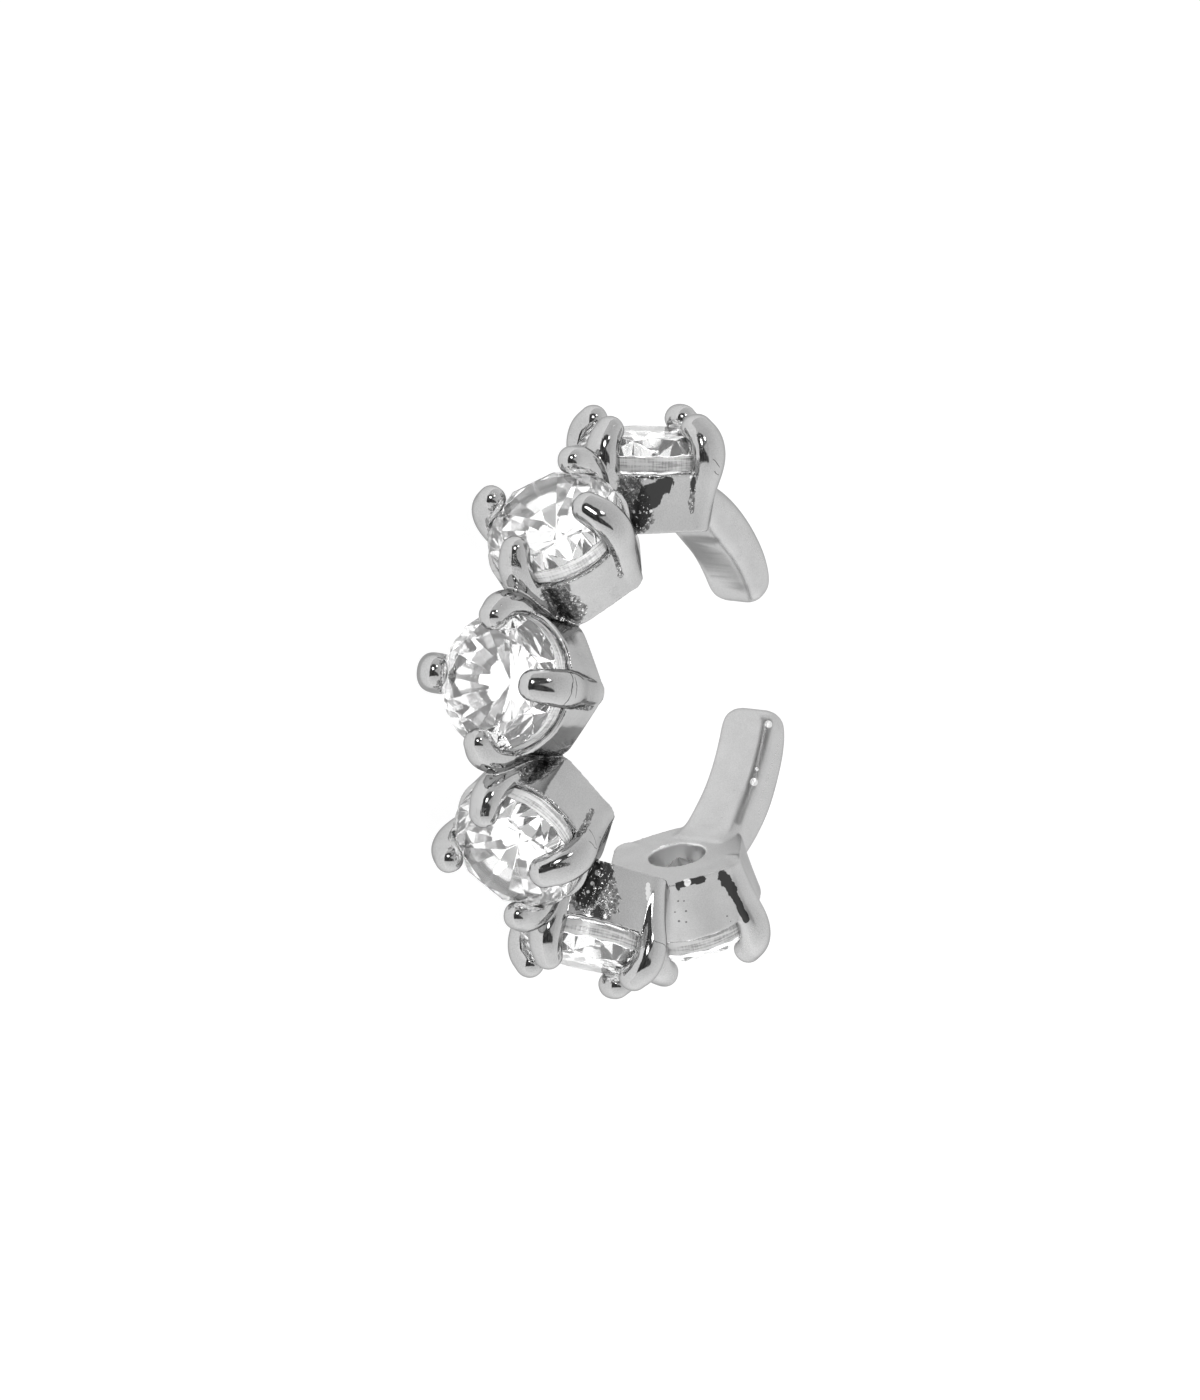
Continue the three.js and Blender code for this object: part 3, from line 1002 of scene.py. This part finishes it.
def stone_material(look, name, shaded_point):
    """Clear stone with a trace of haze, and with painted shade on its point if it is the one whose open
    back shows.
    """
    material, maker = new_material(name)
    spot = maker.layer(SPOT_LAYER, "Vector")
    colour = (look.tone, look.tone, look.tone, 1)
    clearness = look.clearness
    if shaded_point:
        # The point is painted grey and dull as the shade seen through the open back
        height = maker.add("ShaderNodeSeparateXYZ", Vector=spot).outputs["Z"]
        point_shade = maker.remap(height, POINT_SHADE_TOP, GIRDLE_BOTTOM - PAVILION_DEPTH)
        colour = maker.grey(maker.blend(point_shade, look.tone, POINT_SHADE_TONE))
        clearness = maker.blend(point_shade, look.clearness, 0.0)
    ripples = maker.noise(spot, look.polish_scale, *POLISH_RIPPLES)
    surface = maker.add(
        "ShaderNodeBsdfPrincipled",
        Base_Color=colour,
        Roughness=0.0,
        IOR=look.refraction,
        Transmission_Weight=clearness,
        Normal=maker.bump(ripples, look.polish_depth),
    )
    finish_material(maker, surface)
    return material


def girdle_material(look):
    """Ground edge of a stone: pale and frosted, with fine level and upright lines."""
    material, maker = new_material("frosted_girdle")
    parts = maker.add("ShaderNodeSeparateXYZ", Vector=maker.layer(SPOT_LAYER, "Vector"))
    turn = maker.maths("ARCTAN2", parts.outputs["Y"], parts.outputs["X"])
    unrolled = maker.add("ShaderNodeCombineXYZ", X=turn, Y=parts.outputs["Z"])
    upright = maker.noise(maker.stretch(unrolled.outputs[0], UPRIGHT_LINES), *UPRIGHT_NOISE)
    level = maker.noise(maker.stretch(unrolled.outputs[0], LEVEL_LINES), *LEVEL_NOISE)
    grain = maker.blend(LEVEL_SHARE, upright, level)
    surface = maker.add(
        "ShaderNodeBsdfPrincipled",
        Base_Color=maker.grey(maker.remap(grain, *GIRDLE_TONES)),
        Roughness=GIRDLE_ROUGHNESS,
        IOR=look.refraction,
        Transmission_Weight=GIRDLE_CLEARNESS,
        Normal=maker.bump(grain, GIRDLE_GRAIN_DEPTH),
    )
    finish_material(maker, surface)
    return material


def floor_material(look):
    """White glowing table."""
    material, maker = new_material("white_light_table")
    through_stone = maker.add("ShaderNodeLightPath").outputs["Is Transmission Ray"]
    glow = maker.maths("MULTIPLY", maker.blend(through_stone, 1.0, look.stone_light), look.table_glow)
    surface = maker.add(
        "ShaderNodeBsdfPrincipled",
        Base_Color=(TABLE_TONE, TABLE_TONE, TABLE_TONE, 1),
        Roughness=TABLE_ROUGHNESS,
        Emission_Color=(1, 1, 1, 1),
        Emission_Strength=glow,
    )
    finish_material(maker, surface)
    return material


def view_axes(stage):
    """Camera's right, up and back directions from its azimuth, elevation and roll."""
    azimuth = stage.azimuth
    elevation = stage.elevation
    back = Vector(
        (
            math.sin(azimuth) * math.cos(elevation),
            -math.cos(azimuth) * math.cos(elevation),
            math.sin(elevation),
        )
    )
    level_right = Vector((math.cos(azimuth), math.sin(azimuth), 0))
    level_up = back.cross(level_right)
    right = level_right * math.cos(stage.roll) + level_up * math.sin(stage.roll)
    up = back.cross(right)
    return right, up, back


def make_world(stage, right, up, back):
    """White light tent with the dark gap that the camera looks through, and small lamps beside it."""
    world = bpy.data.worlds.new("light_tent")
    world.use_nodes = True
    bpy.context.scene.world = world
    maker = NodeMaker(world.node_tree)
    direction = maker.add("ShaderNodeTexCoord").outputs["Generated"]
    through_stone = maker.add("ShaderNodeLightPath").outputs["Is Transmission Ray"]
    fall = right * stage.fall_right + up * stage.fall_up + back * stage.fall_back
    tent = maker.maths("SUBTRACT", stage.tent_light, maker.dot(direction, fall))
    tent = maker.maths("MULTIPLY", tent, maker.blend(through_stone, 1.0, stage.stone_light))
    gap = dark_gap(maker, direction, stage, right, up, back)
    gap = maker.maths("MULTIPLY", gap, maker.blend(through_stone, 1.0, stage.stone_gap))
    dark_tones = (stage.gap_light, GAP_CONTRAST * stage.gap_light)
    dark = maker.remap(maker.noise(direction, *GAP_NOISE), *GAP_RANGE, *dark_tones)
    total = maker.blend(gap, tent, dark)
    for lamp_right, lamp_up, share in LAMPS:
        aim = (right * lamp_right + up * lamp_up + back).normalized()
        edges = (math.cos(stage.lamp_edge * share), math.cos(stage.lamp_edge * share / 2))
        lamp = maker.remap(maker.dot(direction, aim), *edges, 0.0, stage.lamp_light)
        total = maker.maths("ADD", total, lamp)
    shine = maker.add("ShaderNodeBackground", Color=(1, 1, 1, 1), Strength=total)
    out = maker.add("ShaderNodeOutputWorld")
    maker.feed(out.inputs["Surface"], shine.outputs[0])


def dark_gap(maker, direction, stage, right, up, back):
    """Share of darkness in a direction: 1 in the gap round the camera and 0 in the tent."""
    frayed = maker.remap(maker.noise(direction, *GAP_EDGE_NOISE), *GAP_EDGE_RANGE)
    facing = maker.maths("ADD", maker.dot(direction, back), frayed)
    gap = maker.remap(facing, math.cos(stage.gap_outer), math.cos(stage.gap_inner))
    rightward = maker.maths("MULTIPLY", maker.dot(direction, right), WEDGE_SLOPE)
    upward = maker.maths("SUBTRACT", maker.dot(direction, up), WEDGE_HEIGHT)
    opening = maker.maths("SUBTRACT", maker.maths("ABSOLUTE", upward), rightward)
    gap = maker.maths("MULTIPLY", gap, maker.remap(opening, *WEDGE_RANGE))
    return maker.maths("MULTIPLY", gap, maker.remap(maker.dot(direction, up), *GAP_LOWER_END))


def make_camera(stage, right, up, back):
    camera_data = bpy.data.cameras.new("camera")
    camera_data.lens = stage.lens
    camera_data.clip_start = CLIP_START
    camera_data.clip_end = CLIP_END
    camera = bpy.data.objects.new("camera", camera_data)
    bpy.context.scene.collection.objects.link(camera)
    spot = CENTRE + right * stage.aim_right + up * stage.aim_up + back * stage.distance
    turned = Matrix((right, up, back)).transposed().to_4x4()
    camera.matrix_world = Matrix.Translation(spot) @ turned
    bpy.context.scene.camera = camera


def make_floor(stage):
    bpy.ops.mesh.primitive_circle_add(
        vertices=128,
        radius=stage.floor_radius,
        fill_type="NGON",
    )
    floor = bpy.context.object
    floor.name = "floor"
    floor.data.materials.append(floor_material(stage))


CENTRE = ring_centre()


class MetalSizes(bpy.types.PropertyGroup):
    """Sizes of the cast metal"""

    clearance: FloatProperty(
        name="Clearance",
        description="Room left between a stone and its seat",
        default=0.03 * MM,
        unit="LENGTH",
    )
    skin: FloatProperty(
        name="Skin size",
        description="Size of the even faces that the cast skin is made of",
        default=0.032 * MM,
        unit="LENGTH",
    )
    tumbling: IntProperty(
        name="Tumbling",
        description="Rounds of softening that the edges get",
        default=10,
    )
    root_blending: IntProperty(
        name="Root blending",
        description="Rounds of softening where the tabs leave their collets",
        default=40,
    )
    face_limit: IntProperty(
        name="Face limit",
        description="Most triangles that the cast body may have",
        default=190000,
    )


class MetalLook(bpy.types.PropertyGroup):
    """Finish of the plated metal"""

    shine: FloatProperty(
        name="Shine",
        description="Share of the light that the bright plating gives back",
        default=0.55,
    )
    seat_shine: FloatProperty(
        name="Seat shine",
        description="Share of the light that the fresh cut seats give back",
        default=0.93,
    )
    edge_shine: FloatProperty(
        name="Edge shine",
        description="Share of that light that is left where the plating turns away",
        default=0.45,
    )
    # Share of the plating's light left where the dark reflections are painted
    dark_reflection_shine: FloatProperty(
        name="Cloud shine",
        description="Share of that light that is left in the soft cloudy patches",
        default=0.52,
    )
    satin_shine: FloatProperty(
        name="Satin shine",
        description="How much more light the satin parts give back than the bright ones",
        default=1.12,
    )
    film_shine: FloatProperty(
        name="Film shine",
        description="Share of the light that the dark film gives back",
        default=0.065,
    )
    wave_scale: FloatProperty(
        name="Wave scale",
        description="Number of casting waves in a millimetre",
        default=2.0,
    )
    wave_depth: FloatProperty(
        name="Wave depth",
        description="Depth of the slow waves that casting leaves",
        default=0.0035 * MM,
        unit="LENGTH",
    )
    grain_depth: FloatProperty(
        name="Grain depth",
        description="Depth of the fine grain of the plating",
        default=0.0007 * MM,
        unit="LENGTH",
    )
    hairline_depth: FloatProperty(
        name="Hairline depth",
        description="Depth of the fine scratches",
        default=0.0015 * MM,
        unit="LENGTH",
    )
    crumb_depth: FloatProperty(
        name="Crumb depth",
        description="Roughness of the solder at the joints",
        default=0.008 * MM,
        unit="LENGTH",
    )


class StoneLook(bpy.types.PropertyGroup):
    """Look of the cut stones"""

    tone: FloatProperty(
        name="Tone",
        description="Brightness of the clear stone, where 1 is water white",
        default=1.0,
    )
    refraction: FloatProperty(
        name="Refraction",
        description="Index of refraction of the stone",
        default=2.2,
    )
    polish_scale: FloatProperty(
        name="Polish scale",
        description="Number of polishing ripples in a millimetre",
        default=26.0,
    )
    polish_depth: FloatProperty(
        name="Polish depth",
        description="Depth of the ripples that polishing leaves on the facets",
        default=0.0002 * MM,
        unit="LENGTH",
    )
    clearness: FloatProperty(
        name="Clearness",
        description="Share of the light that goes through the stone and isn't scattered",
        default=0.93,
    )


class StageLook(bpy.types.PropertyGroup):
    """Camera, tent and light table"""

    azimuth: FloatProperty(
        name="Azimuth",
        description="Turn of the camera round the cuff",
        default=math.radians(0.79),
        subtype="ANGLE",
    )
    elevation: FloatProperty(
        name="Elevation",
        description="Height of the camera above the light table",
        default=math.radians(33.85),
        subtype="ANGLE",
    )
    roll: FloatProperty(
        name="Roll",
        description="Turn of the picture, which shows the lying cuff upright",
        default=math.radians(96.43),
        subtype="ANGLE",
    )
    distance: FloatProperty(
        name="Distance",
        description="Distance of the camera from the middle of the ring",
        default=272.7 * MM,
        unit="LENGTH",
    )
    aim_right: FloatProperty(
        name="Aim right",
        description="Shift of the camera to its own right",
        default=-0.911 * MM,
        unit="LENGTH",
    )
    aim_up: FloatProperty(
        name="Aim up",
        description="Shift of the camera to its own top",
        default=0.015 * MM,
        unit="LENGTH",
    )
    lens: FloatProperty(
        name="Lens",
        description="Focal length in millimetres",
        default=321.43,
        unit="CAMERA",
    )
    tent_light: FloatProperty(
        name="Tent light",
        description="Brightness of the white tent",
        default=0.99,
    )
    fall_right: FloatProperty(
        name="Fall to the right",
        description="How much dimmer the tent is at the picture's right",
        default=0.11,
    )
    fall_up: FloatProperty(
        name="Fall to the top",
        description="How much dimmer the tent is at the picture's top",
        default=0.17,
    )
    fall_back: FloatProperty(
        name="Fall to the camera",
        description="How much dimmer the tent is on the camera's side",
        default=0.23,
    )
    gap_light: FloatProperty(
        name="Gap light",
        description="Brightness of the dark gap that the camera looks through",
        default=0.03,
    )
    gap_inner: FloatProperty(
        name="Gap inner edge",
        description="Angle from the camera at which the gap starts to lighten",
        default=math.radians(41),
        subtype="ANGLE",
    )
    gap_outer: FloatProperty(
        name="Gap outer edge",
        description="Angle from the camera at which the gap has ended",
        default=math.radians(46),
        subtype="ANGLE",
    )
    stone_gap: FloatProperty(
        name="Gap in the stones",
        description="Share of the gap's darkness that light from inside the stones keeps",
        default=0.12,
    )
    stone_light: FloatProperty(
        name="Tent light in the stones",
        description="How much brighter the tent is for light from inside the stones",
        default=2.0,
    )
    lamp_edge: FloatProperty(
        name="Lamp edge",
        description="Angular radius of the small lamps, before their own shares",
        default=math.radians(8),
        subtype="ANGLE",
    )
    lamp_light: FloatProperty(
        name="Lamp light",
        description="Brightness of the small lamps",
        default=9.0,
    )
    table_glow: FloatProperty(
        name="Table glow",
        description="Light that the table gives from below",
        default=0.93,
    )
    floor_radius: FloatProperty(
        name="Floor radius",
        description="Radius of the light table",
        default=600 * MM,
        unit="LENGTH",
    )


class CUFF_OT_cast_metal(bpy.types.Operator):
    """Builds the soldered collets, claws and end tabs as one body"""

    bl_idname = "cuff.cast_metal"
    bl_label = "Cast metal"

    def execute(self, context):
        body = make_metal(context.scene.cuff_metal)
        body.data.materials.clear()
        body.data.materials.append(metal_material(context.scene.cuff_finish))
        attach(body, "root")
        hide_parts("cuff_frame")
        return {"FINISHED"}


class CUFF_OT_set_stones(bpy.types.Operator):
    """Cuts the six round stones and sets them in their collets"""

    bl_idname = "cuff.set_stones"
    bl_label = "Set stones"

    def execute(self, context):
        look = context.scene.cuff_stones
        girdle = girdle_material(look)
        for node, angle in zip(STONE_NODES, SETTING_ANGLES):
            name = node.replace("stone", "cut_stone")
            clear = stone_material(look, f"clear_{name}", node == SHADED_POINT_STONE)
            make_stone(name, node, angle, (clear, girdle))
        return {"FINISHED"}


class CUFF_OT_build_stage(bpy.types.Operator):
    """Builds the light table, the tent and the camera"""

    bl_idname = "cuff.build_stage"
    bl_label = "Build stage"

    def execute(self, context):
        stage = context.scene.cuff_stage
        right, up, back = view_axes(stage)
        make_floor(stage)
        make_world(stage, right, up, back)
        make_camera(stage, right, up, back)
        context.scene.view_settings.view_transform = "Standard"
        return {"FINISHED"}


class CUFF_PT_panel(bpy.types.Panel):
    """Lists the steps and sizes of the ear cuff"""

    bl_label = "Ear cuff"
    bl_idname = "CUFF_PT_panel"
    bl_space_type = "VIEW_3D"
    bl_region_type = "UI"
    bl_category = "Ear Cuff"

    def draw(self, context):
        for operator in STEPS:
            self.layout.operator(operator.bl_idname)
        for group in GROUPS:
            settings = getattr(context.scene, group)
            for key in settings.__annotations__:
                self.layout.prop(settings, key)


STEPS = (CUFF_OT_cast_metal, CUFF_OT_set_stones, CUFF_OT_build_stage)
GROUPS = {
    "cuff_metal": MetalSizes,
    "cuff_finish": MetalLook,
    "cuff_stones": StoneLook,
    "cuff_stage": StageLook,
}


def register():
    for group in GROUPS.values():
        bpy.utils.register_class(group)
    for name, group in GROUPS.items():
        setattr(bpy.types.Scene, name, PointerProperty(type=group))
    for operator in STEPS:
        bpy.utils.register_class(operator)
    bpy.utils.register_class(CUFF_PT_panel)


def unregister():
    bpy.utils.unregister_class(CUFF_PT_panel)
    for operator in reversed(STEPS):
        bpy.utils.unregister_class(operator)
    for name in GROUPS:
        delattr(bpy.types.Scene, name)
    for group in GROUPS.values():
        bpy.utils.unregister_class(group)


def main():
    register()
    bpy.ops.cuff.cast_metal()
    bpy.ops.cuff.set_stones()
    bpy.ops.cuff.build_stage()
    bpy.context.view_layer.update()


if __name__ == "__main__":
    main()
